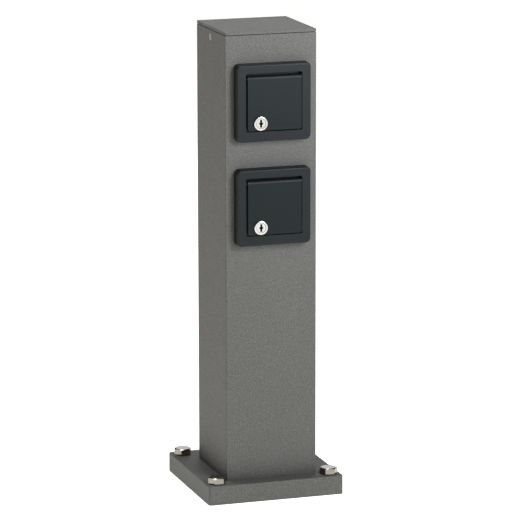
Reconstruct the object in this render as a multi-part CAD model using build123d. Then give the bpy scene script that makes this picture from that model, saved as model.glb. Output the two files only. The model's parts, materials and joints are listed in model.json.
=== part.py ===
from build123d import *
import os
from math import atan2, degrees, sqrt

# Outdoor socket pillar: a square aluminium column on a cast base plate, with a screwed-on cap and two
# lockable, spring-closed flush sockets in its front. Millimetres, +Z up. The origin is the centre of the
# base plate's underside, the sockets face -Y and +X is on the right of somebody who looks at them.

# ---- driving dimensions: base, column and cap -------------------------------------------------------
TOTAL_H = 500.0
BASE_SIDE, BASE_T, BASE_CORNER_R, BASE_EDGE_R = 150.0, 20.5, 3.0, 0.8
FRONT_MARGIN = 18.0  # from the base plate's front edge to the column's front face
POST_SIDE, POST_WALL, POST_CORNER_R = 100.0, 3.0, 1.2
CAP_T, CAP_SEAL_T = 3.0, 0.8
CAP_EDGE_R, CAP_SEAL_INSET, CAP_SEAL_BORE_R = 0.5, 0.9, 0.4
CAP_TAB_W, CAP_TAB_H, CAP_TAB_T, CAP_TAB_GAP = 36.0, 15.0, 3.0, 0.1
CAP_SCREW_DROP = 11.0  # from the top down to the cap screws
CHANNEL_INSET, CHANNEL_R, CHANNEL_HOLE_R = 7.8, 5.2, 2.75
CABLE_ENTRY_R = 25.0
COLUMN_SCREW_HOLE_R, COLUMN_SINK_R, COLUMN_SINK_H = 3.2, 6.7, 4.0  # in the base plate, from below
CAP_SCREW_HOLE_R, CAP_SINK_R, CAP_SINK_H, CAP_THREAD_R = 2.15, 4.0, 2.2, 2.0
CAP_LENS_PROUD = 0.7  # how far a cap screw's round head stands out

# Screws: thread radius, head radius, head height, length and, for a hexagon socket, its width across flats.
COLUMN_SCREW = (2.7, 6.4, 3.7, 42.0, 4.0)
CAP_SCREW = (1.95, 3.75, 2.0, 9.0, 2.5)
CENTRE_SCREW = (1.45, 3.0, 1.5, 14.0, 2.0)
CLAMP_SCREW = (1.55, 3.1, 1.6, 7.5)
RING_SCREW = (1.6, 3.0, 1.5, 16.0)
RAIL_SCREW = (1.95, 3.6, 2.0, 3.2)
SCREW_SLOT_W, COLUMN_SCREW_SINK = 0.8, 0.3
SLIP, THREAD_FIT, PRESS_FIT = 0.05, 0.02, 0.01  # gaps beside a sliding face, round a thread, in a press fit

BOLT_INSET, BOLT_HOLE_R, BOLT_R, BOLT_AF, BOLT_HEAD_H = 12.5, 6.25, 5.0, 17.0, 7.2
BOLT_FACE_R, BOLT_FACE_T, BOLT_CHAMFER_H = 7.8, 1.0, 1.1  # washer face under the head, chamfer on top of it
BOLT_TIP_Z = 0.2  # the bolts end just inside the base plate's underside
BOLT_CORNER_ANGLES = {(-1, -1): 59.0, (-1, 1): 4.0, (1, -1): 52.0, (1, 1): 20.0}

# ---- driving dimensions: one socket unit, in its own frame ------------------------------------------
# x to the right, y up, z out of the column; z = 0 is the column's front face.
UNIT_Z = {"upper": 426.0, "lower": 315.5}
FRAME_SIDE, FRAME_CORNER_R, FRAME_DRAFT = 82.2, 5.6, 4.0
FRAME_SEAL_T, FRAME_TOP_Z, FRAME_EDGE_R = 1.0, 10.5, 1.7
FRAME_WALL, FRAME_TOP_T, COLLAR_WALL, LEDGE_W = 2.4, 2.6, 2.2, 2.0
FRAME_SEAL_INSET, FRAME_SEAL_BORE = 1.0, 3.45  # from the frame's outline to the seal's outer and inner edge
OPENING, OPENING_R, OPENING_Y, OPENING_EDGE_R = 61.6, 2.0, 0.7, 0.35
LEDGE_Z0, LEDGE_Z1 = 3.8, 4.8
TROUGH_Z0, TROUGH_Z1, TROUGH_GAP_LOW, TROUGH_GAP_TOP = 2.25, 2.8, 0.25, 0.4  # floor behind the hinge barrel

AXIS_Y, AXIS_Z = 25.3, 6.9  # the lid's hinge axis
LID_X0, LID_X1, LID_Y0, LID_TOP_Y = -28.9, 30.35, -29.1, 25.0
LID_PLATE_Z0, LID_FACE_Z, LID_SKIRT_Z0, LID_SKIRT_T = 9.0, 10.8, 6.7, 1.6
LID_CORNER_R, LID_EDGE_R, LID_TOP_EDGE_R = 2.6, 0.45, 0.25
BARREL_R, PIN_R, PIN_CLEARANCE, PIN_END_SINK = 3.75, 1.0, 0.06, 0.4
HINGE_BOSS_R, HINGE_BOSS_GAP = 1.9, 0.35  # boss that covers the pin in the wider gap on the left
SPRING_WIRE_R, SPRING_R, SPRING_LEN, SPRING_PITCH = 0.3, 1.6, 10.0, 1.0
SPRING_BACK_LEG, SPRING_LID_LEG, SPRING_LEG_GAP = 2.8, 4.6, 0.3
SPRING_POCKET_R, SPRING_POCKET_W, SPRING_SLOT_W, SPRING_SLOT_SIDE = 2.5, 18.0, 3.0, 2.5

LOCK_X, LOCK_Y = -15.0, -21.1
ROSETTE_R, ROSETTE_T, ROSETTE_EDGE_R, ROSETTE_FLOOR_T, HOUSING_R = 7.5, 1.9, 0.8, 0.3, 4.3
PLUG_HEAD_R, PLUG_R, PLUG_BACK_Z, PLUG_SUNK, PLUG_CHAMFER = 5.3, 3.4, -1.0, 0.15, 0.35
KEYHOLE_H, KEYHOLE_W, KEYHOLE_DEPTH, KEYHOLE_BULGE_R = 8.2, 2.2, 3.0, 2.5
KEYWAY_H, KEYWAY_W, KEYWAY_DEPTH = 5.4, 1.3, 12.0
CAM_Z0, CAM_Z1, CAM_RING_R, CAM_LEN, CAM_W, CAM_TIP_R, CAM_GAP = 6.85, 7.85, 4.5, 11.2, 5.0, 1.2, 0.1
CAM_ROOM_X0, CAM_ROOM_X1, CAM_ROOM_GAP = LOCK_X - 11.7, LOCK_X + 5.5, 0.4
CIRCLIP_Z0, CIRCLIP_W, CIRCLIP_MOUTH = 6.4, 0.9, 2.8
RETAINER_R, RETAINER_T, RETAINER_MOUTH = 6.4, 0.8, 0.8  # the mouth as a part of the housing's diameter

CUP_R, CUP_WALL, RIM_Z, CUP_DEPTH, CUP_FLOOR_T = 19.7, 1.3, 6.3, 17.5, 2.2
RIM_SEAL_INSET, RIM_SEAL_BORE, RIM_SEAL_GAP, RIM_SEAL_EDGE_R = 0.3, 0.2, 0.25, 0.3
COVER_SIDE, COVER_CORNER_R, COVER_Z0, LOCK_HOLE_LIFT, LOCK_HOLE_GAP = 59.4, 2.6, 4.9, 1.4, 0.5
RIB_W, RIB_H, RIB_TOP_DROP = 5.4, 2.6, 2.5  # guide ribs on both sides of the recess
CENTRE_HOLE_R, CENTRE_SINK_R, CENTRE_SINK_H = 1.7, 3.3, 1.6
PIN_SPACING, PIN_HOLE_R = 19.0, 2.7
EARTH_W, EARTH_T = 7.0, 0.8
EARTH_TIP, EARTH_BEND, EARTH_ARM_Y, EARTH_ARM_Z = (18.9, 0.8), (17.5, -4.0), 21.6, -8.6
EARTH_SLOT_GAP, EARTH_SLOT_Y0, EARTH_SLOT_Z1 = 0.9, 18.3, 1.2
EARTH_TAB_Y, EARTH_TAB_END_Y, EARTH_CLAMP_Y = 14.0, 5.0, 9.0

RING_SIDE, RING_T, RING_HOLE_R, PLUG_PASS_R, BOX_FLANGE_T = 71.0, 1.0, 22.2, 5.8, 1.2
RING_SCREW_X = 30.0
BOX_R, BOX_WALL, BOX_DEPTH, BOX_FLANGE_R, BOX_EXIT_R = 33.8, 1.6, 46.0, 36.0, 9.0
BOX_HOLE_GAP, BOSS_R, BOSS_Z0, BOSS_THREAD_Z0, BOSS_DROP = 0.3, 3.6, -18.0, -17.0, 0.4
RING_CORNER_R, LEG_W, LEG_SLOT_W, RING_SLOT_LEN, RING_SLOT_W = 6.0, 9.0, 11.0, 4.0, 4.2
BLOCK_W, BLOCK_H, BLOCK_Z0, BLOCK_Z1, BLOCK_CORNER = 43.0, 44.4, -29.9, -14.5, 5.0
SLEEVE_R, SLEEVE_BORE_R, SLEEVE_HOLE_R, SLEEVE_SLIT, STRAP_W = 3.3, 2.45, 3.6, 1.0, 5.0
CLAMP_X, CLAMP_Y, CLAMP_SIDE, CLAMP_H, CLAMP_THREAD_R = 14.0, -14.0, 7.6, 8.8, 1.65
BLOCK_GAP = 0.2  # round the parts that sit in the contact block

# ---- driving dimensions: wiring ---------------------------------------------------------------------
RAIL_Z, RAIL_LEN, RAIL_H, RAIL_DEPTH, RAIL_T = 450.0, 70.0, 35.0, 7.5, 1.0
RAIL_SCREW_X, RAIL_THREAD_R, RAIL_HOLE_R = 28.0, 2.0, 2.15
RAIL_THREAD_DEPTH, RAIL_LIP = 2.4, 4.5
TERMINAL_W, TERMINAL_H, TERMINAL_FRONT_Y, TERMINAL_CHAMFER = 8.0, 44.0, -4.0, 7.0
ENTRY_Y, ENTRY_GAP, ENTRY_DEPTH, ENTRY_IN = {"upper": 12.0, "lower": 17.0, "column": 22.0}, 0.2, 10.0, 8.0
SUPPLY_ENTRY_R, SUPPLY_ENTRY_DEPTH, SUPPLY_ENTRY_Y = 3.2, 12.0, 14.0
TERMINAL_X = {"line": -10.0, "neutral": 0.0, "earth": 10.0}
WIRE_R = 1.6
EARTH_STUD_X, EARTH_STUD_Y, EARTH_STUD_R = 28.0, 14.0, 3.0
EARTH_STUD_HOLE, EARTH_STUD_IN, EARTH_STUD_OUT = 12.0, 11.5, 18.0  # depths into and height above the base
LUG_LIFT, NUT_LIFT, NUT_AF, NUT_H = 6.7, 8.0, 10.0, 5.0  # lug and nut stand this far above the base plate
LUG_EYE_R, LUG_NECK_W, LUG_T, LUG_BARREL_R, LUG_BARREL_Y = 6.0, 7.0, 1.2, 2.8, (7.0, 14.0)

# ---- derived ----------------------------------------------------------------------------------------
POST_FRONT_Y = -BASE_SIDE / 2 + FRONT_MARGIN
POST_Y = POST_FRONT_Y + POST_SIDE / 2
POST_BACK_Y = POST_FRONT_Y + POST_SIDE
POST_TOP = TOTAL_H - CAP_T - CAP_SEAL_T
POST_H = POST_TOP - BASE_T
POST_INNER = POST_SIDE - 2 * POST_WALL
BOLT_OFFSET = BASE_SIDE / 2 - BOLT_INSET
CHANNEL_OFFSET = POST_SIDE / 2 - CHANNEL_INSET
RAIL_BACK_Y = POST_BACK_Y - POST_WALL
RAIL_FRONT_Y = RAIL_BACK_Y - RAIL_DEPTH
CUP_OUT_R = CUP_R + CUP_WALL
CUP_FLOOR_Z = RIM_Z - CUP_DEPTH
CUP_BACK_Z = CUP_FLOOR_Z - CUP_FLOOR_T
LEG_Y = BLOCK_H / 2 + BLOCK_GAP + RING_T / 2
CAVITY = CLAMP_SIDE / 2 + BLOCK_GAP
RING_TOP_Z = BOX_FLANGE_T + RING_T
CAP_SCREW_Z = TOTAL_H - CAP_SCREW_DROP
UP = (Align.CENTER, Align.CENTER, Align.MIN)
DOWN = (Align.CENTER, Align.CENTER, Align.MAX)
CORNERS = [(sx, sy) for sx in (-1, 1) for sy in (-1, 1)]


# ---- helpers ----------------------------------------------------------------------------------------
def block(x0, x1, y0, y1, z0, z1):
    """A box given by its two corners."""
    return Pos((x0 + x1) / 2, (y0 + y1) / 2, (z0 + z1) / 2) * Box(x1 - x0, y1 - y0, z1 - z0)


def disc(r, z0, z1, x=0.0, y=0.0):
    """A cylinder along Z."""
    return Pos(x, y, z0) * Cylinder(r, z1 - z0, align=UP)


def rod_x(r, x0, x1, y, z):
    """A cylinder along X."""
    return Pos((x0 + x1) / 2, y, z) * Rot(0, 90, 0) * Cylinder(r, x1 - x0)


def rod_y(r, y0, y1, x, z):
    """A cylinder along Y."""
    return Pos(x, (y0 + y1) / 2, z) * Rot(90, 0, 0) * Cylinder(r, y1 - y0)


def plate(side, corner_r, z0, z1, taper=0.0):
    """A square plate with rounded corners, whose sides may lean in towards the top."""
    return Pos(0, 0, z0) * extrude(RectangleRounded(side, side, corner_r), z1 - z0, taper=taper)


def ribbon_yz(points, thickness, width):
    """A bent strip, width wide along X, that follows points in the YZ plane with round bends."""
    strip = None
    for (y0, z0), (y1, z1) in zip(points, points[1:]):
        run = Vector(0, y1 - y0, z1 - z0)
        angle = Vector(0, 1, 0).get_signed_angle(run, Vector(1, 0, 0))
        piece = Pos(0, (y0 + y1) / 2, (z0 + z1) / 2) * Rot(angle, 0, 0) * Box(width, run.length, thickness)
        strip = piece if strip is None else strip + piece
    for y, z in points[1:-1]:
        strip += rod_x(thickness / 2, -width / 2, width / 2, y, z)
    return strip


def wire(points, radii):
    """An insulated wire along straight runs joined by tangent arcs."""
    path = FilletPolyline(*points, radius=radii)
    section = Plane(origin=path @ 0, z_dir=path % 0) * Circle(WIRE_R)
    return sweep(section, path=path)


def countersunk_screw(r, head_r, head_h, length, socket_af):
    """Head face at z = 0, shank along -Z, with a hexagon socket in the head."""
    screw = Cone(r, head_r, head_h, align=DOWN)
    screw += Cylinder(r, length, align=DOWN)
    socket = extrude(RegularPolygon(socket_af / 2, 6, major_radius=False), -head_h * 0.8)
    return screw - socket


def pan_screw(r, head_r, head_h, length, slot_w=1.0):
    """Head underside at z = 0, shank along -Z, with a cross slot."""
    head = Cylinder(head_r, head_h, align=UP)
    head = fillet(head.edges().group_by(Axis.Z)[-1], head_h * 0.45)
    slots = Box(head_r * 1.3, slot_w, head_h) + Box(slot_w, head_r * 1.3, head_h)
    return head - Pos(0, 0, head_h) * slots + Cylinder(r, length, align=DOWN)


# ---- base, column and cap ---------------------------------------------------------------------------
def base_plate():
    body = plate(BASE_SIDE, BASE_CORNER_R, 0, BASE_T)
    body = fillet(body.edges().group_by(Axis.Z)[-1], BASE_EDGE_R)
    body -= disc(CABLE_ENTRY_R, 0, BASE_T, 0, POST_Y)
    for sx, sy in CORNERS:
        body -= disc(BOLT_HOLE_R, 0, BASE_T, sx * BOLT_OFFSET, sy * BOLT_OFFSET)
        screw_at = Pos(sx * CHANNEL_OFFSET, POST_Y + sy * CHANNEL_OFFSET, 0)
        body -= screw_at * Cylinder(COLUMN_SCREW_HOLE_R, BASE_T, align=UP)
        body -= screw_at * Cone(COLUMN_SINK_R, COLUMN_SCREW_HOLE_R, COLUMN_SINK_H, align=UP)
    hole_z = BASE_T - EARTH_STUD_HOLE
    return body - disc(EARTH_STUD_R + THREAD_FIT, hole_z, BASE_T, EARTH_STUD_X, EARTH_STUD_Y)


def column_post():
    outline = RectangleRounded(POST_SIDE, POST_SIDE, POST_CORNER_R) - Rectangle(POST_INNER, POST_INNER)
    for sx, sy in CORNERS:
        outline += Pos(sx * CHANNEL_OFFSET, sy * CHANNEL_OFFSET) * Circle(CHANNEL_R)
    for sx, sy in CORNERS:
        outline -= Pos(sx * CHANNEL_OFFSET, sy * CHANNEL_OFFSET) * Circle(CHANNEL_HOLE_R)
    body = Pos(0, POST_Y, BASE_T) * extrude(outline, POST_H)
    thread_y0, thread_y1 = RAIL_BACK_Y - 0.5, RAIL_BACK_Y + RAIL_THREAD_DEPTH
    for zc in UNIT_Z.values():
        body -= rod_y(BOX_R + BOX_HOLE_GAP, POST_FRONT_Y - 1, POST_FRONT_Y + POST_WALL + 1, 0, zc)
    for sx in (-1, 1):
        side = Pos(sx * POST_SIDE / 2, POST_Y, CAP_SCREW_Z) * Rot(0, sx * 90, 0)
        body -= side * Cylinder(CAP_SCREW_HOLE_R, 3 * POST_WALL)
        body -= side * Cone(CAP_SCREW_HOLE_R, CAP_SINK_R, CAP_SINK_H, align=DOWN)
        body -= rod_y(RAIL_THREAD_R, thread_y0, thread_y1, sx * RAIL_SCREW_X, RAIL_Z)
    return body


def column_screws():
    screw = Pos(0, POST_Y, COLUMN_SCREW_SINK) * Rot(180, 0, 0) * countersunk_screw(*COLUMN_SCREW)
    return [Pos(sx * CHANNEL_OFFSET, sy * CHANNEL_OFFSET, 0) * screw for sx, sy in CORNERS]


def anchor_bolt(corner_angle):
    """Hexagon bolt with a chamfered head and a washer face; the head bears at z = 0."""
    corner_r = BOLT_AF / sqrt(3)
    hexagon = RegularPolygon(BOLT_AF / 2, 6, major_radius=False, rotation=corner_angle)
    head = Pos(0, 0, BOLT_FACE_T) * extrude(hexagon, BOLT_HEAD_H - BOLT_FACE_T)
    turned = Cylinder(corner_r, BOLT_HEAD_H - BOLT_CHAMFER_H, align=UP)
    turned += Pos(0, 0, BOLT_HEAD_H - BOLT_CHAMFER_H) * Cone(corner_r, BOLT_FACE_R, BOLT_CHAMFER_H, align=UP)
    bolt = (head & turned) + disc(BOLT_FACE_R, 0, BOLT_FACE_T)
    return bolt + disc(BOLT_R, BOLT_TIP_Z - BASE_T, 0)


def anchor_bolts():
    return [
        Pos(sx * BOLT_OFFSET, sy * BOLT_OFFSET, BASE_T) * anchor_bolt(BOLT_CORNER_ANGLES[sx, sy])
        for sx, sy in CORNERS
    ]


def top_cap():
    body = plate(POST_SIDE, POST_CORNER_R, POST_TOP + CAP_SEAL_T, TOTAL_H)
    body = fillet(body.edges().group_by(Axis.Z)[-1], CAP_EDGE_R)
    tab_out = POST_INNER / 2 - CAP_TAB_GAP
    for sx in (-1, 1):
        tab = Pos(sx * (tab_out - CAP_TAB_T / 2), 0, POST_TOP + CAP_SEAL_T - CAP_TAB_H / 2)
        body += tab * Box(CAP_TAB_T, CAP_TAB_W, CAP_TAB_H)
        x0, x1 = sx * tab_out - CAP_TAB_T - 1, sx * tab_out + CAP_TAB_T + 1
        body -= rod_x(CAP_THREAD_R, x0, x1, 0, CAP_SCREW_Z)
    return Pos(0, POST_Y, 0) * body


def cap_seal():
    outer = plate(POST_SIDE - 2 * CAP_SEAL_INSET, POST_CORNER_R, POST_TOP, POST_TOP + CAP_SEAL_T)
    inner = plate(POST_INNER + CAP_SEAL_BORE_R, CAP_SEAL_BORE_R, POST_TOP, POST_TOP + CAP_SEAL_T)
    return Pos(0, POST_Y, 0) * (outer - inner)


def cap_screws():
    head_r, socket_af = CAP_SCREW[1], CAP_SCREW[4]
    screws = []
    for sx in (-1, 1):
        lens = Pos(0, 0, -SLIP) * Cylinder(head_r, CAP_LENS_PROUD, align=UP)
        lens = fillet(lens.edges().group_by(Axis.Z)[-1], CAP_LENS_PROUD * 0.8)
        lens -= extrude(RegularPolygon(socket_af / 2, 6, major_radius=False), 2)
        screw = countersunk_screw(*CAP_SCREW) + lens
        screws.append(Pos(sx * POST_SIDE / 2, POST_Y, CAP_SCREW_Z) * Rot(0, sx * 90, 0) * screw)
    return screws


# ---- one socket unit: frame and lid -----------------------------------------------------------------
def opening_plate(side, corner_r, z0, z1):
    """A square plate centred on the frame's opening, which sits a little above the frame's centre."""
    return Pos(0, OPENING_Y, 0) * plate(side, corner_r, z0, z1)


def cover_frame():
    """Hollow frame: drafted sides, rounded outer edge and a collar with a ledge round the opening."""
    body = plate(FRAME_SIDE, FRAME_CORNER_R, FRAME_SEAL_T, FRAME_TOP_Z, taper=FRAME_DRAFT)
    body = fillet(body.faces().sort_by(Axis.Z)[-1].edges(), FRAME_EDGE_R)
    inner, inner_r = FRAME_SIDE - 2 * FRAME_WALL, FRAME_CORNER_R - FRAME_WALL
    collar, collar_r = OPENING + 2 * COLLAR_WALL, OPENING_R + COLLAR_WALL
    hollow = plate(inner, inner_r, FRAME_SEAL_T, FRAME_TOP_Z - FRAME_TOP_T, taper=FRAME_DRAFT)
    body -= hollow - opening_plate(collar, collar_r, FRAME_SEAL_T, FRAME_TOP_Z)
    body -= opening_plate(collar, collar_r, FRAME_SEAL_T, LEDGE_Z0)
    body -= opening_plate(OPENING, OPENING_R, LEDGE_Z1, FRAME_TOP_Z + 1)
    body -= opening_plate(OPENING - 2 * LEDGE_W, OPENING_R, LEDGE_Z0 - 1, LEDGE_Z1 + 1)
    # a deeper floor behind the lid's hinge barrel, in place of the ledge
    half, out, top = OPENING / 2, collar / 2, OPENING_Y + OPENING / 2
    front, back = AXIS_Y - BARREL_R - TROUGH_GAP_LOW, AXIS_Y + BARREL_R + TROUGH_GAP_TOP
    body += block(-out, out, front, top + COLLAR_WALL, TROUGH_Z0, LEDGE_Z0)
    body -= block(-half, half, front - 0.5, back, TROUGH_Z1, LEDGE_Z1 + 1)
    body -= rod_x(PIN_R + THREAD_FIT, -out, out, AXIS_Y, AXIS_Z)
    # the slot in the collar that the lock's cam turns into
    low, room_z0, room_z1 = OPENING_Y - half, CAM_Z0 - CAM_ROOM_GAP, CAM_Z1 + CAM_ROOM_GAP
    body -= block(CAM_ROOM_X0, CAM_ROOM_X1, low - COLLAR_WALL - 0.5, low + 0.5, room_z0, room_z1)
    rim = [e for e in body.edges() if abs(e.center().Z - FRAME_TOP_Z) < 0.01]
    inside = max(half, top) + 0.01
    return fillet([e for e in rim if max(abs(e.center().X), abs(e.center().Y)) < inside], OPENING_EDGE_R)


def frame_seal():
    outer = plate(FRAME_SIDE - 2 * FRAME_SEAL_INSET, FRAME_CORNER_R - FRAME_SEAL_INSET, 0, FRAME_SEAL_T)
    return outer - plate(FRAME_SIDE - 2 * FRAME_SEAL_BORE, FRAME_CORNER_R - FRAME_SEAL_BORE, 0, FRAME_SEAL_T)


def lid():
    w, h = LID_X1 - LID_X0, LID_TOP_Y - LID_Y0
    outline = Pos((LID_X0 + LID_X1) / 2, (LID_Y0 + LID_TOP_Y) / 2) * Rectangle(w, h)
    outline = fillet(outline.vertices().group_by(Axis.Y)[0], LID_CORNER_R)
    face = Pos(0, 0, LID_PLATE_Z0) * extrude(outline, LID_FACE_Z - LID_PLATE_Z0)
    front = face.edges().group_by(Axis.Z)[-1]
    top_edge = front.sort_by(Axis.Y)[-1]
    face = fillet([e for e in front if e != top_edge], LID_EDGE_R)
    face = fillet(face.edges().group_by(Axis.Z)[-1].sort_by(Axis.Y)[-1], LID_TOP_EDGE_R)
    hollow = offset(outline, -LID_SKIRT_T)
    skirt = Pos(0, 0, LID_SKIRT_Z0) * extrude(outline - hollow, LID_PLATE_Z0 - LID_SKIRT_Z0)
    body = face + skirt + rod_x(BARREL_R, LID_X0, LID_X1, AXIS_Y, AXIS_Z)
    boss_end = HINGE_BOSS_GAP - OPENING / 2
    body += rod_x(HINGE_BOSS_R, boss_end, LID_X0, AXIS_Y, AXIS_Z)
    body -= rod_x(PIN_R + PIN_CLEARANCE, boss_end, LID_X1, AXIS_Y, AXIS_Z)
    half = SPRING_POCKET_W / 2
    body -= rod_x(SPRING_POCKET_R, -half, half, AXIS_Y, AXIS_Z)
    body -= block(-half, half, AXIS_Y - SPRING_POCKET_R, AXIS_Y + BARREL_R, AXIS_Z - BARREL_R, AXIS_Z)
    slot_x1 = half - SPRING_SLOT_SIDE
    slot_z0 = AXIS_Z - 2 * SPRING_WIRE_R
    body -= block(slot_x1 - SPRING_SLOT_W, slot_x1, AXIS_Y - 6, AXIS_Y, slot_z0, LID_PLATE_Z0)
    room_z1 = CAM_Z1 + CAM_ROOM_GAP
    body -= block(CAM_ROOM_X0, CAM_ROOM_X1, LID_Y0, LID_Y0 + LID_SKIRT_T + 0.5, LID_SKIRT_Z0, room_z1)
    return body - disc(HOUSING_R + THREAD_FIT, LID_PLATE_Z0, LID_FACE_Z, LOCK_X, LOCK_Y)


def lid_pin():
    end = OPENING / 2 + COLLAR_WALL - PIN_END_SINK
    return rod_x(PIN_R, -end, end, AXIS_Y, AXIS_Z)


def lid_spring():
    """Torsion spring round the hinge pin: one leg lies under the lid, the other on the frame's ledge."""
    x0 = -SPRING_LEN / 2
    path = Pos(x0, AXIS_Y, AXIS_Z) * Rot(0, 90, 0) * Helix(SPRING_PITCH, SPRING_LEN, SPRING_R)
    start, end = path @ 0, path @ 1
    coil = sweep(Plane(origin=start, z_dir=path % 0) * Circle(SPRING_WIRE_R), path=path, is_frenet=True)
    back_leg = leg_from(start, Vector(x0, AXIS_Y + SPRING_BACK_LEG, TROUGH_Z1 + SPRING_WIRE_R + SLIP))
    lid_leg_z = LID_PLATE_Z0 - SPRING_WIRE_R - SPRING_LEG_GAP
    lid_leg = leg_from(end, Vector(-x0, AXIS_Y - SPRING_LID_LEG, lid_leg_z))
    return coil + back_leg + lid_leg


def leg_from(start, finish):
    """A straight spring leg with a round end at the coil."""
    run = finish - start
    leg = Plane(origin=start, z_dir=run) * Cylinder(SPRING_WIRE_R, run.length, align=UP)
    return leg + Pos(start) * Sphere(SPRING_WIRE_R)


# ---- one socket unit: lock --------------------------------------------------------------------------
def lock_body():
    rosette = disc(ROSETTE_R, LID_FACE_Z, LID_FACE_Z + ROSETTE_T)
    rosette = fillet(rosette.edges().group_by(Axis.Z)[-1], ROSETTE_EDGE_R)
    body = rosette + disc(HOUSING_R, CAM_Z1 + CAM_GAP, LID_FACE_Z)
    body -= disc(PLUG_HEAD_R + SLIP, LID_FACE_Z + ROSETTE_FLOOR_T, LID_FACE_Z + ROSETTE_T + 1)
    return Pos(LOCK_X, LOCK_Y, 0) * (body - disc(PLUG_R + SLIP, 0, LID_FACE_Z + 1))


def lock_plug():
    head_z, face_z = LID_FACE_Z + ROSETTE_FLOOR_T + SLIP, LID_FACE_Z + ROSETTE_T - PLUG_SUNK
    head = disc(PLUG_HEAD_R, head_z, face_z)
    head = chamfer(head.edges().group_by(Axis.Z)[-1], PLUG_CHAMFER)
    body = head + disc(PLUG_R, PLUG_BACK_Z, head_z + SLIP)
    keyhole = Box(KEYHOLE_W, KEYHOLE_H, 2 * KEYHOLE_DEPTH)
    keyhole += extrude(RegularPolygon(KEYHOLE_BULGE_R, 4), KEYHOLE_DEPTH, both=True)
    keyhole += Box(KEYWAY_W, KEYWAY_H, 2 * KEYWAY_DEPTH)
    return Pos(LOCK_X, LOCK_Y, 0) * (body - Pos(0, 0, face_z) * keyhole)


def lock_cam():
    tongue = block(-CAM_LEN, 0, -CAM_W / 2, CAM_W / 2, CAM_Z0, CAM_Z1)
    tongue = fillet(tongue.edges().filter_by(Axis.Z).group_by(Axis.X)[0], CAM_TIP_R)
    body = disc(CAM_RING_R, CAM_Z0, CAM_Z1) + tongue
    return Pos(LOCK_X, LOCK_Y, 0) * (body - disc(PLUG_R + PRESS_FIT, CAM_Z0, CAM_Z1))


def lock_circlip():
    ring = disc(PLUG_R + CIRCLIP_W, CIRCLIP_Z0, CAM_Z0 - SLIP) - disc(PLUG_R + PRESS_FIT, CIRCLIP_Z0, CAM_Z0)
    mouth = block(0, PLUG_R + 2 * CIRCLIP_W, -CIRCLIP_MOUTH / 2, CIRCLIP_MOUTH / 2, CIRCLIP_Z0, CAM_Z0)
    return Pos(LOCK_X, LOCK_Y, 0) * (ring - mouth)


def lock_retainer():
    """Horseshoe clip behind the lid's plate, with a flat on the side of the plug recess."""
    ring = disc(RETAINER_R, LID_PLATE_Z0 - RETAINER_T, LID_PLATE_Z0 - THREAD_FIT)
    ring -= disc(HOUSING_R + PRESS_FIT, 0, LID_PLATE_Z0)
    to_centre = degrees(atan2(-LOCK_Y, -LOCK_X))
    flat = Rot(0, 0, to_centre) * block(HOUSING_R + SLIP, 10, -10, 10, 0, LID_PLATE_Z0)
    half_mouth = HOUSING_R * RETAINER_MOUTH
    mouth = Rot(0, 0, 180) * block(0, 10, -half_mouth, half_mouth, 0, LID_PLATE_Z0)
    return Pos(LOCK_X, LOCK_Y, 0) * (ring - flat - mouth)


# ---- one socket unit: socket insert -----------------------------------------------------------------
def socket_cover():
    half = COVER_SIDE / 2
    face = plate(COVER_SIDE, COVER_CORNER_R, COVER_Z0, RIM_Z)
    face -= block(-half, half, CUP_OUT_R, half, COVER_Z0, RIM_Z)
    body = face + disc(CUP_OUT_R, CUP_BACK_Z, RIM_Z) - disc(CUP_R, CUP_FLOOR_Z, RIM_Z)
    rib = block(CUP_R - RIB_H, CUP_R + 0.4, -RIB_W / 2, RIB_W / 2, CUP_FLOOR_Z, RIM_Z - RIB_TOP_DROP)
    slot_x = EARTH_W / 2 + EARTH_SLOT_GAP
    slot = block(-slot_x, slot_x, EARTH_SLOT_Y0, CUP_OUT_R + 1, CUP_BACK_Z, EARTH_SLOT_Z1)
    for turn in (0, 180):
        body += Rot(0, 0, turn) * rib
        body -= Rot(0, 0, turn) * disc(PIN_HOLE_R, CUP_BACK_Z, CUP_FLOOR_Z, PIN_SPACING / 2)
        body -= Rot(0, 0, turn) * slot
    body -= disc(CENTRE_HOLE_R, CUP_BACK_Z, CUP_FLOOR_Z)
    body -= Pos(0, 0, CUP_FLOOR_Z) * Cone(CENTRE_HOLE_R, CENTRE_SINK_R, CENTRE_SINK_H, align=DOWN)
    # slotted hole, because the plug's back end swings up and down as the lid turns
    hole = SlotCenterToCenter(LOCK_HOLE_LIFT, 2 * (PLUG_R + LOCK_HOLE_GAP), rotation=90)
    return body - Pos(LOCK_X, LOCK_Y - LOCK_HOLE_LIFT / 2, COVER_Z0) * extrude(hole, RIM_Z - COVER_Z0)


def rim_seal():
    ring = disc(CUP_OUT_R - RIM_SEAL_INSET, RIM_Z, LID_PLATE_Z0 - RIM_SEAL_GAP)
    ring -= disc(CUP_R + RIM_SEAL_BORE, RIM_Z, LID_PLATE_Z0)
    return fillet(ring.edges().group_by(Axis.Z)[-1], RIM_SEAL_EDGE_R)


def centre_screw():
    return Pos(0, 0, CUP_FLOOR_Z - SLIP) * countersunk_screw(*CENTRE_SCREW)


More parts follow.
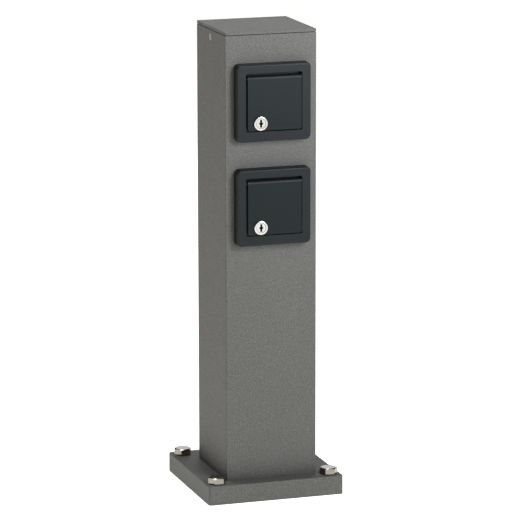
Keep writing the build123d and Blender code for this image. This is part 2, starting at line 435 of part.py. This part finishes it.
def earth_bracket():
    """Spring strip with the two earth contacts in the recess, and a tab through the block to its terminal."""
    strap_z, tab_z = CUP_BACK_Z - 0.5, BLOCK_Z0 - 0.9
    arm = [EARTH_TIP, EARTH_BEND, (EARTH_ARM_Y, EARTH_ARM_Z), (EARTH_ARM_Y, strap_z)]
    body = ribbon_yz(arm + [(-y, z) for y, z in reversed(arm)], EARTH_T, EARTH_W)
    tab = [(EARTH_TAB_Y, strap_z), (EARTH_TAB_Y, tab_z), (EARTH_TAB_END_Y, tab_z)]
    body += ribbon_yz(tab, EARTH_T, EARTH_W)
    body -= disc(CENTRE_HOLE_R + 0.3, strap_z - 2, strap_z + 2)
    return body - disc(CLAMP_THREAD_R + 0.1, BLOCK_Z0 - 3, BLOCK_Z0 + 1, 0, EARTH_CLAMP_Y)


def support_ring():
    """Steel ring that lies on the box's flange; two legs reach back and hold the contact block."""
    body = plate(RING_SIDE, RING_CORNER_R, BOX_FLANGE_T, RING_TOP_Z) - disc(RING_HOLE_R, 0, RING_TOP_Z)
    body -= Pos(LOCK_X, LOCK_Y, 0) * disc(PLUG_PASS_R, 0, RING_TOP_Z)
    screw_slot = extrude(SlotCenterToCenter(RING_SLOT_LEN, RING_SLOT_W, rotation=90), RING_TOP_Z)
    for side in (-1, 1):
        y0, y1 = side * LEG_Y - RING_T / 2, side * LEG_Y + RING_T / 2
        body -= block(-LEG_SLOT_W / 2, LEG_SLOT_W / 2, y0 - 0.3, y1 - 0.2, 0, RING_TOP_Z)
        body += block(-LEG_W / 2, LEG_W / 2, y0, y1, BLOCK_Z0 + 3, RING_TOP_Z)
        body -= Pos(side * RING_SCREW_X, 0, 0) * screw_slot
    return body


def contact_block():
    body = block(-BLOCK_W / 2, BLOCK_W / 2, -BLOCK_H / 2, BLOCK_H / 2, BLOCK_Z0, BLOCK_Z1)
    body = chamfer(body.edges().filter_by(Axis.Z), BLOCK_CORNER)
    y0, y1, z1 = CLAMP_Y - CAVITY, CLAMP_Y + CAVITY, BLOCK_Z0 + CLAMP_H + BLOCK_GAP
    cavity = block(-CAVITY, CAVITY, y0, y1, BLOCK_Z0, z1)
    for sx in (-1, 1):
        body -= disc(SLEEVE_HOLE_R, BLOCK_Z0, BLOCK_Z1, sx * PIN_SPACING / 2)
        body -= Pos(sx * CLAMP_X, 0, 0) * cavity
    tab_x, tab_y = EARTH_W / 2 + BLOCK_GAP, EARTH_T / 2 + BLOCK_GAP
    body -= block(-tab_x, tab_x, EARTH_TAB_Y - tab_y, EARTH_TAB_Y + tab_y, BLOCK_Z0, BLOCK_Z1)
    body -= disc(CENTRE_SCREW[0] + SLIP, BLOCK_Z0, BLOCK_Z1)
    return body - disc(CLAMP_SCREW[0] + SLIP, BLOCK_Z0, BLOCK_Z0 + 8, 0, EARTH_CLAMP_Y)


def pin_contact(sx):
    """Brass sleeve for one plug pin, its strap and its wire clamp."""
    x = sx * PIN_SPACING / 2
    strap_z0, strap_z1, clamp_z1 = BLOCK_Z0 - 1.0, BLOCK_Z0 - SLIP, BLOCK_Z0 + CLAMP_H
    slit = block(x - SLEEVE_SLIT / 2, x + SLEEVE_SLIT / 2, 0, 5, BLOCK_Z0 + 3, BLOCK_Z1)
    sleeve = disc(SLEEVE_R, strap_z0, BLOCK_Z1 - 0.4, x) - slit
    cx, half = sx * CLAMP_X, CLAMP_SIDE / 2
    clamp = block(cx - half, cx + half, CLAMP_Y - half, CLAMP_Y + half, strap_z1, clamp_z1)
    strap_x0, strap_x1 = min(x, cx) - STRAP_W / 2, max(x, cx) + STRAP_W / 2
    strap = block(strap_x0, strap_x1, CLAMP_Y - half, 2, strap_z0, strap_z1)
    body = sleeve + clamp + strap - disc(SLEEVE_BORE_R, strap_z0, BLOCK_Z1, x)
    return body - disc(CLAMP_THREAD_R, strap_z0, clamp_z1, cx, CLAMP_Y)


def terminal_screws():
    """Clamp screws of the line, neutral and earth terminals; their heads face the back of the box."""
    pin_z, earth_z = BLOCK_Z0 - 1.0 - SLIP, BLOCK_Z0 - 1.3 - SLIP
    places = [(-CLAMP_X, CLAMP_Y, pin_z), (CLAMP_X, CLAMP_Y, pin_z), (0, EARTH_CLAMP_Y, earth_z)]
    screw = Rot(180, 0, 0) * pan_screw(*CLAMP_SCREW, SCREW_SLOT_W)
    return [Pos(*place) * screw for place in places]


def ring_screws():
    screw = Pos(0, 0, RING_TOP_Z) * pan_screw(*RING_SCREW, SCREW_SLOT_W)
    return [Pos(sx * RING_SCREW_X, 0, 0) * screw for sx in (-1, 1)]


def device_box():
    inner = BOX_R - BOX_WALL
    body = disc(BOX_R, -BOX_DEPTH, BOX_FLANGE_T) + disc(BOX_FLANGE_R, 0, BOX_FLANGE_T)
    body -= disc(inner, -BOX_DEPTH + BOX_WALL, BOX_FLANGE_T)
    within = disc(BOX_R - 0.1, BOSS_Z0, BOX_FLANGE_T)
    for x in (-RING_SCREW_X, RING_SCREW_X):
        boss = disc(BOSS_R, BOSS_Z0, BOX_FLANGE_T - BOSS_DROP, x) & within
        body = body + boss - disc(RING_SCREW[0] + THREAD_FIT, BOSS_THREAD_Z0, BOX_FLANGE_T, x)
    return body - disc(BOX_EXIT_R, -BOX_DEPTH, -BOX_DEPTH + BOX_WALL)


UNIT_PARTS = {
    "cover_frame": cover_frame,
    "frame_seal": frame_seal,
    "lid": lid,
    "lid_pin": lid_pin,
    "lid_spring": lid_spring,
    "lock_body": lock_body,
    "lock_plug": lock_plug,
    "lock_cam": lock_cam,
    "lock_circlip": lock_circlip,
    "lock_retainer": lock_retainer,
    "socket_cover": socket_cover,
    "rim_seal": rim_seal,
    "centre_screw": centre_screw,
    "earth_bracket": earth_bracket,
    "support_ring": support_ring,
    "contact_block": contact_block,
    "line_contact": lambda: pin_contact(-1),
    "neutral_contact": lambda: pin_contact(1),
    "terminal_screws": terminal_screws,
    "ring_screws": ring_screws,
    "device_box": device_box,
}


# ---- supply terminals and wiring inside the column --------------------------------------------------
def terminal_rail():
    """Top-hat rail across the back wall of the column."""
    half, web = RAIL_LEN / 2, RAIL_H / 2 - RAIL_LIP
    body = block(-half, half, RAIL_BACK_Y - RAIL_T, RAIL_BACK_Y, -web, web)
    for sz in (-1, 1):
        z0, z1 = sorted((sz * (web - RAIL_T), sz * web))
        body += block(-half, half, RAIL_FRONT_Y, RAIL_BACK_Y, z0, z1)
        z0, z1 = sorted((sz * (web - RAIL_T), sz * RAIL_H / 2))
        body += block(-half, half, RAIL_FRONT_Y, RAIL_FRONT_Y + RAIL_T, z0, z1)
    for sx in (-1, 1):
        body -= rod_y(RAIL_HOLE_R, RAIL_BACK_Y - 2, RAIL_BACK_Y + 1, sx * RAIL_SCREW_X, 0)
    return Pos(0, 0, RAIL_Z) * body


def rail_screws():
    screw = Rot(90, 0, 0) * pan_screw(*RAIL_SCREW)
    return [Pos(sx * RAIL_SCREW_X, RAIL_BACK_Y - RAIL_T, RAIL_Z) * screw for sx in (-1, 1)]


def terminal(x):
    """Push-in rail terminal: three wire entries below, one above, and a hook over each edge of the rail."""
    half, back = TERMINAL_H / 2, RAIL_FRONT_Y - SLIP
    body = block(-TERMINAL_W / 2, TERMINAL_W / 2, TERMINAL_FRONT_Y, back, -half, half)
    body = chamfer(body.edges().filter_by(Axis.X).group_by(Axis.Y)[0], TERMINAL_CHAMFER)
    for sz in (-1, 1):
        z0, z1 = sorted((sz * (RAIL_H / 2 + 0.2), sz * (RAIL_H / 2 + 2.6)))
        body += block(-TERMINAL_W / 2, TERMINAL_W / 2, back - 1, back + 4, z0, z1)
    for y in ENTRY_Y.values():
        body -= disc(WIRE_R + ENTRY_GAP, -half, -half + ENTRY_DEPTH, 0, y)
    body -= disc(SUPPLY_ENTRY_R, half - SUPPLY_ENTRY_DEPTH, half, 0, SUPPLY_ENTRY_Y)
    # the window a screwdriver goes into to free a wire
    body -= block(-2, 2, TERMINAL_FRONT_Y - 1, TERMINAL_FRONT_Y + 3, -8, -4)
    return Pos(x, 0, RAIL_Z) * body


def earth_stud():
    foot, tip = BASE_T - EARTH_STUD_IN, BASE_T + EARTH_STUD_OUT
    return disc(EARTH_STUD_R - THREAD_FIT, foot, tip, EARTH_STUD_X, EARTH_STUD_Y)


def earth_nut():
    nut = extrude(RegularPolygon(NUT_AF / 2, 6, major_radius=False), NUT_H)
    nut -= Cylinder(EARTH_STUD_R, 4 * NUT_H)
    return Pos(EARTH_STUD_X, EARTH_STUD_Y, BASE_T + NUT_LIFT) * nut


def earth_lug():
    """Crimp lug on the stud; its barrel points at the back wall and takes the column's earth wire."""
    (y0, y1), z = LUG_BARREL_Y, LUG_BARREL_R
    eye = disc(LUG_EYE_R, 0, LUG_T) + block(-LUG_NECK_W / 2, LUG_NECK_W / 2, 0, y0 + 3, 0, LUG_T)
    barrel = rod_y(LUG_BARREL_R, y0, y1, 0, z) - rod_y(WIRE_R + SLIP, y0 + 1, y1 + 1, 0, z)
    body = eye + barrel - disc(EARTH_STUD_R, -1, 2)
    return Pos(EARTH_STUD_X, EARTH_STUD_Y, BASE_T + LUG_LIFT) * body


def socket_wire(unit, kind):
    """From one socket's clamp, out of the back of its box and up into the matching rail terminal."""
    zc, behind_box = UNIT_Z[unit], POST_FRONT_Y + BOX_DEPTH
    clamp_x, clamp_z = {"line": (-CLAMP_X, CLAMP_Y), "neutral": (CLAMP_X, CLAMP_Y), "earth": (0, 16)}[kind]
    lane = {"line": -4.5, "neutral": 0.5, "earth": 4.5}[kind]
    exit_z = zc + (3.5 if kind == "earth" else -3.0)
    entry_y = ENTRY_Y[unit]
    clamp_y = POST_FRONT_Y - BLOCK_Z0 + 5.0
    bend_z = RAIL_Z - TERMINAL_H / 2 - (20.0 if unit == "upper" else 26.0)
    x = TERMINAL_X[kind]
    points = [
        (clamp_x, clamp_y, zc + clamp_z),
        (lane, clamp_y + 3.0, exit_z),
        (lane, behind_box + 5.0, exit_z),
        (x, entry_y, bend_z if unit == "upper" else zc + 14.0),
        (x, entry_y, RAIL_Z - TERMINAL_H / 2 + ENTRY_IN),
    ]
    return wire(points, [3.0, 3.0, 5.0])


def column_earth_wire():
    x = TERMINAL_X["earth"]
    entry_y, wall_y = ENTRY_Y["column"], 35.0
    top, lug_z = RAIL_Z - TERMINAL_H / 2, BASE_T + LUG_LIFT + LUG_BARREL_R
    points = [
        (x, entry_y, top + ENTRY_IN),
        (x, entry_y, top - 24.0),
        (EARTH_STUD_X, wall_y, top - 70.0),
        (EARTH_STUD_X, wall_y, lug_z),
        (EARTH_STUD_X, EARTH_STUD_Y + LUG_BARREL_Y[0] + 2.0, lug_z),
    ]
    return wire(points, [15.0, 15.0, 6.0])


def wires(kind):
    return [socket_wire(unit, kind) for unit in UNIT_Z]


# ---- export -----------------------------------------------------------------------------------------
def save(name, shape):
    """Writes one node. Loose pieces that share a node become a compound of separate solids."""
    if isinstance(shape, list):
        shape = Compound(children=[s for piece in shape for s in piece.solids()])
    export_step(shape, f"parts/{name}.step")


COLUMN_PARTS = {
    "base_plate": base_plate(),
    "column_post": column_post(),
    "column_screws": column_screws(),
    "anchor_bolts": anchor_bolts(),
    "top_cap": top_cap(),
    "cap_seal": cap_seal(),
    "cap_screws": cap_screws(),
    "terminal_rail": terminal_rail(),
    "rail_screws": rail_screws(),
    "earth_stud": earth_stud(),
    "earth_nut": earth_nut(),
    "earth_lug": earth_lug(),
    "wires_line": wires("line"),
    "wires_neutral": wires("neutral"),
    "wires_earth": wires("earth") + [column_earth_wire()],
}

os.makedirs("parts", exist_ok=True)
for name, shape in COLUMN_PARTS.items():
    save(name, shape)
for kind, x in TERMINAL_X.items():
    save(f"terminal_{kind}", terminal(x))
for name, make in UNIT_PARTS.items():
    made = make()
    for unit, zc in UNIT_Z.items():
        place = Pos(0, POST_FRONT_Y, zc) * Rot(90, 0, 0)
        save(f"{unit}_{name}", [place * piece for piece in made] if isinstance(made, list) else place * made)
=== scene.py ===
import json
import math

import bpy
from mathutils import Matrix, Vector


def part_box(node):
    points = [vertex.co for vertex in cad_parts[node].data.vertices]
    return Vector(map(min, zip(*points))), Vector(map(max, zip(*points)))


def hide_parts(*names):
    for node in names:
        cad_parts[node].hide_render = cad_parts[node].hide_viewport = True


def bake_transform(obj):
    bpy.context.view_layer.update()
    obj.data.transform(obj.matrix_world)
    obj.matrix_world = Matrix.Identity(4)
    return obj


# Looks of the outdoor socket pillar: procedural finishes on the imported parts, a pale floor, soft light
# and the camera. Metres throughout, +Z up, the sockets face -Y.

UNITS = ("upper", "lower")

# ---- camera: a long lens from the front left, looking down a little ---------------------------------
CAMERA_PLACE = Vector((-1.123, -3.460, 1.015))
CAMERA_TARGET = Vector((0.0008, -0.008, 0.2496))
CAMERA_ROLL = math.radians(-0.107)
LENS_MM, SENSOR_MM, VIEW_DEPTH = 243.45, 36.0, 50.0

# ---- studio ----------------------------------------------------------------------------------------
FLOOR_SIDE, FLOOR_GREY, FLOOR_GLOW = 40.0, (0.8, 0.8, 0.8), 1.0
FLOOR_TINT, SKY_TINT, LAMP_TINT = (1.0, 0.985, 0.94), (1.0, 0.98, 0.93), (0.93, 0.94, 1.0)
HORIZON, ZENITH = 0.8, 0.04  # brightness of the pale band and of the room above it
BAND_LOW, BAND_TOP = 0.08, 0.12  # height at which the band starts to fade and at which it has gone

# ---- patterns: the middle part of a noise's 0..1 range, in which almost all of its values lie -------
NOISE_LOW, NOISE_HIGH = 0.3, 0.7


# ---- node helpers ----------------------------------------------------------------------------------
class Finish:
    """A Principled material whose patterns are measured in metres in the part's own frame."""

    def __init__(self, name, color, roughness, metallic=0.0, specular=0.5):
        self.material = bpy.data.materials.new(name)
        self.material.use_nodes = True
        self.material.diffuse_color = (*color, 1.0)
        self.tree = self.material.node_tree
        self.shader = self.tree.nodes["Principled BSDF"]
        self.shader.inputs["Base Color"].default_value = (*color, 1.0)
        self.shader.inputs["Roughness"].default_value = roughness
        self.shader.inputs["Metallic"].default_value = metallic
        self.shader.inputs["Specular IOR Level"].default_value = specular
        self.color = color
        self.place = self.node("ShaderNodeTexCoord").outputs["Object"]

    def node(self, kind, **values):
        """A new node with the given properties."""
        node = self.tree.nodes.new(kind)
        for name, value in values.items():
            setattr(node, name, value)
        return node

    def link(self, output, target):
        self.tree.links.new(output, target)

    def set(self, node, **values):
        """Sets a node's inputs; an underscore stands for a space in an input's name."""
        for name, value in values.items():
            node.inputs[name.replace("_", " ")].default_value = value
        return node

    def noise(self, size, detail=2.0, roughness=0.5):
        """Noise whose features are about size metres wide."""
        noise = self.set(self.node("ShaderNodeTexNoise"), Scale=1 / size, Detail=detail, Roughness=roughness)
        self.link(self.place, noise.inputs["Vector"])
        return noise.outputs["Fac"]

    def cells(self, size):
        """A random value in 0..1 for each grain of about size metres."""
        grains = self.set(self.node("ShaderNodeTexVoronoi"), Scale=1 / size)
        self.link(self.place, grains.inputs["Vector"])
        separate = self.node("ShaderNodeSeparateColor")
        self.link(grains.outputs["Color"], separate.inputs["Color"])
        return separate.outputs["Red"]

    def span(self, value, low, high, to_low, to_high):
        """Maps low..high of a pattern to to_low..to_high, clamped."""
        ranged = self.node("ShaderNodeMapRange")
        self.link(value, ranged.inputs["Value"])
        self.set(ranged, From_Min=low, From_Max=high, To_Min=to_low, To_Max=to_high)
        return ranged.outputs["Result"]

    def noise_span(self, size, low, high, **noise_values):
        """Noise that runs from low to high."""
        return self.span(self.noise(size, **noise_values), NOISE_LOW, NOISE_HIGH, low, high)

    def combine(self, operation, a, b):
        """One Math node on two patterns."""
        result = self.node("ShaderNodeMath", operation=operation)
        self.link(a, result.inputs[0])
        self.link(b, result.inputs[1])
        return result.outputs["Value"]

    def shade(self, brightness):
        """Multiplies the base colour by a pattern."""
        scaled = self.node("ShaderNodeVectorMath", operation="SCALE")
        scaled.inputs[0].default_value = self.color
        self.link(brightness, scaled.inputs["Scale"])
        self.link(scaled.outputs["Vector"], self.shader.inputs["Base Color"])

    def rough(self, value):
        self.link(value, self.shader.inputs["Roughness"])

    def bump(self, height, depth, strength):
        """Relief of a pattern, depth metres deep."""
        bump = self.set(self.node("ShaderNodeBump"), Strength=strength, Distance=depth)
        self.link(height, bump.inputs["Height"])
        self.link(bump.outputs["Normal"], self.shader.inputs["Normal"])


# ---- finishes --------------------------------------------------------------------------------------
def powder_coat():
    """Fine-textured anthracite powder coat with metallic flecks, slightly uneven in tone."""
    finish = Finish("powder_coat", (0.115, 0.115, 0.108), 0.64, metallic=0.1, specular=0.2)
    grain = finish.noise_span(0.0013, 0.76, 1.24, detail=3.0, roughness=0.6)
    flecks = finish.span(finish.cells(0.0005), 0.86, 1.0, 0.97, 1.55)
    clouds = finish.noise_span(0.03, 0.985, 1.015)
    finish.shade(finish.combine("MULTIPLY", finish.combine("MULTIPLY", grain, flecks), clouds))
    finish.rough(finish.noise_span(0.0009, 0.56, 0.72))
    finish.bump(finish.noise(0.0011, detail=3.0), 0.00035, 0.6)
    return finish.material


def textured_plastic(name, color, roughness=0.42, specular=0.5):
    """Moulded thermoplastic with a fine spark-eroded texture."""
    finish = Finish(name, color, roughness, specular=specular)
    finish.shade(finish.noise_span(0.02, 0.95, 1.05, detail=3.0))
    finish.rough(finish.noise_span(0.0006, roughness - 0.05, roughness + 0.05))
    finish.bump(finish.noise(0.0004), 0.00004, 0.5)
    return finish.material


def socket_plastic():
    """Smoother thermoplastic of the socket inserts, with a slight sheen."""
    finish = Finish("socket_plastic", (0.036, 0.041, 0.044), 0.28)
    finish.shade(finish.noise_span(0.015, 0.95, 1.05))
    finish.rough(finish.noise_span(0.0008, 0.24, 0.33))
    finish.bump(finish.noise(0.0006), 0.00002, 0.3)
    return finish.material


def plated_metal(name, color, roughness):
    """Plated or bare metal with faint tool marks."""
    finish = Finish(name, color, roughness, metallic=1.0)
    marks = finish.noise(0.0004, detail=3.0)
    finish.shade(finish.noise_span(0.004, 0.93, 1.04))
    finish.rough(finish.span(marks, NOISE_LOW, NOISE_HIGH, roughness - 0.05, roughness + 0.05))
    finish.bump(marks, 0.00002, 0.35)
    return finish.material


def coated_metal(name, color, roughness):
    """Screw with a dull conversion coating."""
    finish = Finish(name, color, roughness, metallic=0.2, specular=0.3)
    finish.shade(finish.noise_span(0.002, 0.9, 1.08))
    finish.rough(finish.noise_span(0.0006, roughness - 0.06, roughness + 0.06))
    return finish.material


def lock_nickel(face_y):
    """Bright nickel, with painted shade in the keyhole and at the foot of the rosette, just behind the lock's
    face.
    """
    finish = Finish("lock_nickel", (0.63, 0.625, 0.605), 0.14, metallic=1.0)
    split = finish.node("ShaderNodeSeparateXYZ")
    finish.link(finish.place, split.inputs["Vector"])
    # painted shade: the nickel's colour falls to 5 % from 0.3 to 0.8 mm behind the lock's face, and comes
    # back between 3.4 and 3.8 mm behind it
    painted_shade_fade_in = finish.span(split.outputs["Y"], face_y + 0.0003, face_y + 0.0008, 1.0, 0.05)
    painted_shade_fade_out = finish.span(split.outputs["Y"], face_y + 0.0034, face_y + 0.0038, 0.0, 1.0)
    finish.shade(finish.combine("MAXIMUM", painted_shade_fade_in, painted_shade_fade_out))
    finish.rough(finish.noise_span(0.0004, 0.11, 0.17, detail=3.0))
    return finish.material


def rubber():
    """Black sealing rubber, matt."""
    finish = Finish("rubber", (0.02, 0.021, 0.021), 0.75, specular=0.3)
    finish.rough(finish.noise_span(0.0008, 0.66, 0.84))
    finish.bump(finish.noise(0.0005), 0.00005, 0.4)
    return finish.material


def insulation(name, color):
    """Smooth PVC wire insulation with a slight waviness."""
    finish = Finish(name, color, 0.35)
    finish.shade(finish.noise_span(0.006, 0.92, 1.06))
    finish.rough(finish.noise_span(0.002, 0.3, 0.42))
    finish.bump(finish.noise(0.0015), 0.00006, 0.3)
    return finish.material


def earth_insulation(name, green, yellow):
    """Green insulation with yellow stripes along the wire's upright runs."""
    finish = Finish(name, green, 0.35)
    wave = finish.set(finish.node("ShaderNodeTexWave", bands_direction="X"), Scale=150.0)
    finish.link(finish.place, wave.inputs["Vector"])
    mix = finish.node("ShaderNodeMix", data_type="RGBA")
    factor, first, second, mixed = mix.inputs[0], mix.inputs[6], mix.inputs[7], mix.outputs[2]
    first.default_value = (*green, 1.0)
    second.default_value = (*yellow, 1.0)
    finish.link(finish.span(wave.outputs["Fac"], 0.55, 0.6, 0.0, 1.0), factor)
    finish.link(mixed, finish.shader.inputs["Base Color"])
    finish.bump(finish.noise(0.0015), 0.00006, 0.3)
    return finish.material


def finishes():
    """One material for each material slot of the record."""
    face_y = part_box("upper_lock_plug")[0][1]
    return {
        "powder_coat": powder_coat(),
        "stainless": plated_metal("stainless", (0.25, 0.235, 0.205), 0.22),
        "zinc_steel": plated_metal("zinc_steel", (0.42, 0.43, 0.44), 0.36),
        "coated_screw": coated_metal("coated_screw", (0.25, 0.25, 0.24), 0.42),
        "rubber": rubber(),
        "tinned_copper": plated_metal("tinned_copper", (0.68, 0.66, 0.62), 0.3),
        "wire_brown": insulation("wire_brown", (0.16, 0.06, 0.03)),
        "wire_blue": insulation("wire_blue", (0.03, 0.12, 0.42)),
        "wire_green": earth_insulation("wire_green", (0.06, 0.3, 0.04), (0.75, 0.6, 0.03)),
        "terminal_grey": textured_plastic("terminal_grey", (0.42, 0.43, 0.43)),
        "terminal_blue": textured_plastic("terminal_blue", (0.05, 0.16, 0.45)),
        "terminal_green": textured_plastic("terminal_green", (0.15, 0.38, 0.08)),
        "frame_plastic": textured_plastic("frame_plastic", (0.0085, 0.0115, 0.013), specular=0.21),
        "lid_plastic": textured_plastic("lid_plastic", (0.0055, 0.0098, 0.0108), specular=0.18),
        "lock_nickel": lock_nickel(face_y),
        "socket_plastic": socket_plastic(),
        "block_plastic": textured_plastic("block_plastic", (0.58, 0.58, 0.55)),
        "brass": plated_metal("brass", (0.72, 0.53, 0.25), 0.28),
        "box_plastic": textured_plastic("box_plastic", (0.05, 0.05, 0.05), 0.5),
    }


def dress(frame):
    """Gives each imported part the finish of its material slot."""
    made = finishes()
    for part in frame["record"]["subparts"]:
        mesh = frame["nodes"][part["node"]].data
        for index in range(len(mesh.materials)):
            mesh.materials[index] = made[part["material_slot"]]


def wind_spring(frame, unit):
    """Puts a copy of the lid's torsion spring, which lies along the hinge pin between its legs on the frame
    and on the lid, in world coordinates in place of the imported part, which it hides.
    """
    node = f"{unit}_lid_spring"
    spring = bpy.data.objects.new(f"{unit}_wound_spring", frame["nodes"][node].data.copy())
    bpy.context.scene.collection.objects.link(spring)
    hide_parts(node)
    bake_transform(spring)


# ---- stage -----------------------------------------------------------------------------------------
def floor():
    """A pale floor that glows a little, so that it is white up to the edges of the picture."""
    half = FLOOR_SIDE / 2
    corners = [(-half, -half, 0), (half, -half, 0), (half, half, 0), (-half, half, 0)]
    mesh = bpy.data.meshes.new("floor")
    mesh.from_pydata(corners, [], [(0, 1, 2, 3)])
    ground = bpy.data.objects.new("floor", mesh)
    bpy.context.scene.collection.objects.link(ground)
    finish = Finish("floor", FLOOR_GREY, 0.9, specular=0.1)
    finish.shader.inputs["Emission Color"].default_value = (*FLOOR_TINT, 1.0)
    finish.shader.inputs["Emission Strength"].default_value = FLOOR_GLOW
    ground.data.materials.append(finish.material)


def soft_light(name, place, aim, size, power, color=(1, 1, 1)):
    """A rectangular lamp that faces a point; size is its width and height in metres, power is in watts."""
    data = bpy.data.lights.new(name, "AREA")
    data.shape = "RECTANGLE"
    data.size, data.size_y = size
    data.energy = power
    data.color = color
    lamp = bpy.data.objects.new(name, data)
    lamp.location = place
    lamp.rotation_euler = (Vector(aim) - Vector(place)).to_track_quat("-Z", "Y").to_euler()
    bpy.context.scene.collection.objects.link(lamp)


def studio_world():
    """A pale band along the horizon, behind the floor, and a dim room above it."""
    world = bpy.data.worlds.new("studio")
    world.use_nodes = True
    tree = world.node_tree
    background = tree.nodes["Background"]
    background.inputs["Color"].default_value = (*SKY_TINT, 1.0)
    direction = tree.nodes.new("ShaderNodeTexCoord").outputs["Generated"]
    split = tree.nodes.new("ShaderNodeSeparateXYZ")
    tree.links.new(direction, split.inputs["Vector"])
    height = tree.nodes.new("ShaderNodeMapRange")
    height.interpolation_type = "SMOOTHSTEP"
    tree.links.new(split.outputs["Z"], height.inputs["Value"])
    fade = {"From Min": BAND_LOW, "From Max": BAND_TOP, "To Min": HORIZON, "To Max": ZENITH}
    for name, value in fade.items():
        height.inputs[name].default_value = value
    tree.links.new(height.outputs["Result"], background.inputs["Strength"])
    bpy.context.scene.world = world


def lights():
    """Two cool lamps in front, one from behind for the bolts and the base plate, one from above."""
    soft_light("key", (1.2, -2.2, 0.9), (0, 0, 0.35), (1.0, 0.8), 10.4, LAMP_TINT)
    soft_light("fill", (0.25, -0.6, 0.66), (0, -0.05, 0.52), (0.3, 0.3), 4.3, LAMP_TINT)
    soft_light("back", (0.8, 1.8, 0.8), (0, 0, 0.25), (1.5, 0.8), 5.6)
    soft_light("top", (-0.1, 0.3, 1.8), (0, 0, 0), (0.7, 1.0), 20.8)


def camera():
    data = bpy.data.cameras.new("camera")
    data.lens, data.sensor_width, data.sensor_fit = LENS_MM, SENSOR_MM, "HORIZONTAL"
    data.clip_end = VIEW_DEPTH
    eye = bpy.data.objects.new("camera", data)
    look = (CAMERA_TARGET - CAMERA_PLACE).to_track_quat("-Z", "Y").to_matrix().to_4x4()
    eye.matrix_world = Matrix.Translation(CAMERA_PLACE) @ look @ Matrix.Rotation(CAMERA_ROLL, 4, "Z")
    bpy.context.scene.collection.objects.link(eye)
    bpy.context.scene.camera = eye


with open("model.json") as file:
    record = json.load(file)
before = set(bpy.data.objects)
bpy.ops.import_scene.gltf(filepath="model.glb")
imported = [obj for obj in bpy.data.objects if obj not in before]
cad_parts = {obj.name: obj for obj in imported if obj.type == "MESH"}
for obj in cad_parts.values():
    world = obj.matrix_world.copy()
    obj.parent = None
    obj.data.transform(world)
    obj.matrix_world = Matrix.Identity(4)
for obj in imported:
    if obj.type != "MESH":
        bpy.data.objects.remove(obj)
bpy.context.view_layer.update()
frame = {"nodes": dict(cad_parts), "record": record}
dress(frame)
for unit in UNITS:
    wind_spring(frame, unit)
floor()
studio_world()
lights()
camera()
bpy.context.scene.view_settings.view_transform = "Standard"
